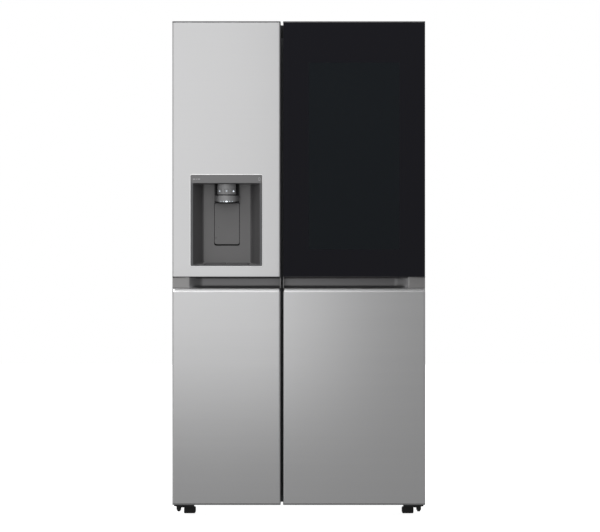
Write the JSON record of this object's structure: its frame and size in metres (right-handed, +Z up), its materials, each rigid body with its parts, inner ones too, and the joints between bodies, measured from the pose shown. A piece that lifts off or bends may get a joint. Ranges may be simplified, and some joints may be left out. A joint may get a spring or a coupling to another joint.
{
  "type": "side by side refrigerator",
  "caption": "Side by side refrigerator freezer with brushed steel doors, a black glass window in the fridge door, pocket handles and a water and ice dispenser.",
  "frame": {"origin": "on the floor, under the middle of the overall box", "axes": "+Z up, -Y out of the door fronts, +X to the right seen from the front"},
  "size_m": [0.913, 0.735, 1.79],
  "materials": {
    "door_steel": "satin",
    "case_paint": "satin",
    "galvanised": "satin",
    "black_paint": "satin",
    "black_plastic": "matte",
    "black_glass": "gloss",
    "clear_glass": "gloss",
    "white_plastic": "satin",
    "clear_plastic": "gloss",
    "dark_grey_plastic": "satin",
    "seal_rubber": "matte",
    "foam": "matte",
    "aluminium": "satin"
  },
  "bodies": {
    "cabinet": {"outer_case": "case_paint", "back_panel": "galvanised", "base_frame": "galvanised", "insulation_foam": "foam", "freezer_liner": "white_plastic", "fridge_liner": "white_plastic", "freezer_rear_panel": "white_plastic", "fridge_duct_panel": "white_plastic", "top_cover": "black_plastic", "machine_cover": "black_plastic", "compressor": "black_paint", "condenser": "black_paint", "freezer_upper_hinge": "black_paint", "freezer_lower_hinge": "black_paint", "fridge_upper_hinge": "black_paint", "fridge_lower_hinge": "black_paint", "evaporator": "aluminium", "freezer_shelf_1": "clear_glass", "freezer_shelf_2": "clear_glass", "freezer_shelf_3": "clear_glass", "fridge_shelf_1": "clear_glass", "fridge_shelf_2": "clear_glass", "fridge_shelf_3": "clear_glass", "fridge_shelf_4": "clear_glass"},
    "freezer_door": {"freezer_door_body": "white_plastic", "freezer_upper_panel": "door_steel", "freezer_lower_panel": "door_steel", "freezer_handle_channel": "dark_grey_plastic", "freezer_door_seal": "seal_rubber", "dispenser_housing": "dark_grey_plastic", "nozzle_housing": "dark_grey_plastic", "ice_maker": "white_plastic", "ice_bin": "clear_plastic", "freezer_door_bin_1": "clear_plastic", "freezer_door_bin_2": "clear_plastic"},
    "fridge_door": {"fridge_door_body": "white_plastic", "glass_panel": "black_glass", "inner_window_pane": "clear_glass", "fridge_lower_panel": "door_steel", "fridge_handle_channel": "dark_grey_plastic", "fridge_door_seal": "seal_rubber", "fridge_door_bin_1": "clear_plastic", "fridge_door_bin_2": "clear_plastic", "fridge_door_bin_3": "clear_plastic", "fridge_door_bin_4": "clear_plastic"},
    "dispenser_lever": {"dispenser_lever": "dark_grey_plastic"},
    "ice_chute_flap": {"ice_chute_flap": "black_plastic"},
    "water_key": {"water_key": "dark_grey_plastic"},
    "cubed_ice_key": {"cubed_ice_key": "dark_grey_plastic"},
    "crushed_ice_key": {"crushed_ice_key": "dark_grey_plastic"},
    "condenser_fan": {"condenser_fan": "black_plastic"},
    "evaporator_fan": {"evaporator_fan": "white_plastic"},
    "left_rear_roller": {"left_rear_roller": "black_plastic"},
    "right_rear_roller": {"right_rear_roller": "black_plastic"},
    "left_front_foot": {"left_front_foot": "black_plastic"},
    "right_front_foot": {"right_front_foot": "black_plastic"},
    "freezer_lower_drawer": {"freezer_lower_drawer": "clear_plastic"},
    "freezer_upper_drawer": {"freezer_upper_drawer": "clear_plastic"},
    "fridge_lower_crisper": {"fridge_lower_crisper": "clear_plastic"},
    "fridge_upper_crisper": {"fridge_upper_crisper": "clear_plastic"}
  },
  "joints": [
    {"name": "freezer_door_swing", "type": "hinge", "parent": "cabinet", "child": "freezer_door", "pos_m": [-0.4345, -0.3295, 0.9], "axis": [0, 0, -1], "range_deg": [0, 115]},
    {"name": "fridge_door_swing", "type": "hinge", "parent": "cabinet", "child": "fridge_door", "pos_m": [0.4345, -0.3295, 0.9], "axis": [0, 0, 1], "range_deg": [0, 115]},
    {"name": "dispenser_lever_press", "type": "hinge", "parent": "freezer_door", "child": "dispenser_lever", "pos_m": [-0.261, -0.2965, 1.136], "axis": [1, 0, 0], "range_deg": [0, 5], "stiffness_Nm_per_rad": 1.2},
    {"name": "ice_chute_flap_swing", "type": "hinge", "parent": "freezer_door", "child": "ice_chute_flap", "pos_m": [-0.261, -0.3008, 1.197], "axis": [-1, 0, 0], "range_deg": [0, 22], "stiffness_Nm_per_rad": 0.05},
    {"name": "water_key_press", "type": "slide", "parent": "freezer_door", "child": "water_key", "axis": [0.5299, 0.848, 0], "range_m": [0, 0.001], "stiffness_N_per_m": 300},
    {"name": "cubed_ice_key_press", "type": "slide", "parent": "freezer_door", "child": "cubed_ice_key", "axis": [0, 1, 0], "range_m": [0, 0.001], "stiffness_N_per_m": 300},
    {"name": "crushed_ice_key_press", "type": "slide", "parent": "freezer_door", "child": "crushed_ice_key", "axis": [-0.5299, 0.848, 0], "range_m": [0, 0.001], "stiffness_N_per_m": 300},
    {"name": "condenser_fan_spin", "type": "hinge", "parent": "cabinet", "child": "condenser_fan", "pos_m": [0, 0.24, 0.126], "axis": [0, 1, 0], "continuous": true},
    {"name": "evaporator_fan_spin", "type": "hinge", "parent": "cabinet", "child": "evaporator_fan", "pos_m": [-0.2485, 0.259, 1.495], "axis": [0, 1, 0], "continuous": true},
    {"name": "left_rear_roller_roll", "type": "hinge", "parent": "cabinet", "child": "left_rear_roller", "pos_m": [-0.383, 0.29, 0.019], "axis": [1, 0, 0], "continuous": true},
    {"name": "right_rear_roller_roll", "type": "hinge", "parent": "cabinet", "child": "right_rear_roller", "pos_m": [0.383, 0.29, 0.019], "axis": [1, 0, 0], "continuous": true},
    {"name": "left_foot_level", "type": "slide", "parent": "cabinet", "child": "left_front_foot", "axis": [0, 0, 1], "range_m": [-0.012, 0]},
    {"name": "right_foot_level", "type": "slide", "parent": "cabinet", "child": "right_front_foot", "axis": [0, 0, 1], "range_m": [-0.012, 0]},
    {"name": "freezer_lower_drawer_slide", "type": "slide", "parent": "cabinet", "child": "freezer_lower_drawer", "axis": [0, -1, 0], "range_m": [0, 0.182]},
    {"name": "freezer_upper_drawer_slide", "type": "slide", "parent": "cabinet", "child": "freezer_upper_drawer", "axis": [0, -1, 0], "range_m": [0, 0.182]},
    {"name": "fridge_lower_crisper_slide", "type": "slide", "parent": "cabinet", "child": "fridge_lower_crisper", "axis": [0, -1, 0], "range_m": [0, 0.182]},
    {"name": "fridge_upper_crisper_slide", "type": "slide", "parent": "cabinet", "child": "fridge_upper_crisper", "axis": [0, -1, 0], "range_m": [0, 0.182]}
  ],
  "couplings": [
    {"joint": "freezer_lower_drawer_slide", "follows": "freezer_door_swing", "m_per_rad": 0.09},
    {"joint": "freezer_upper_drawer_slide", "follows": "freezer_door_swing", "m_per_rad": 0.09},
    {"joint": "fridge_lower_crisper_slide", "follows": "fridge_door_swing", "m_per_rad": 0.09},
    {"joint": "fridge_upper_crisper_slide", "follows": "fridge_door_swing", "m_per_rad": 0.09}
  ]
}
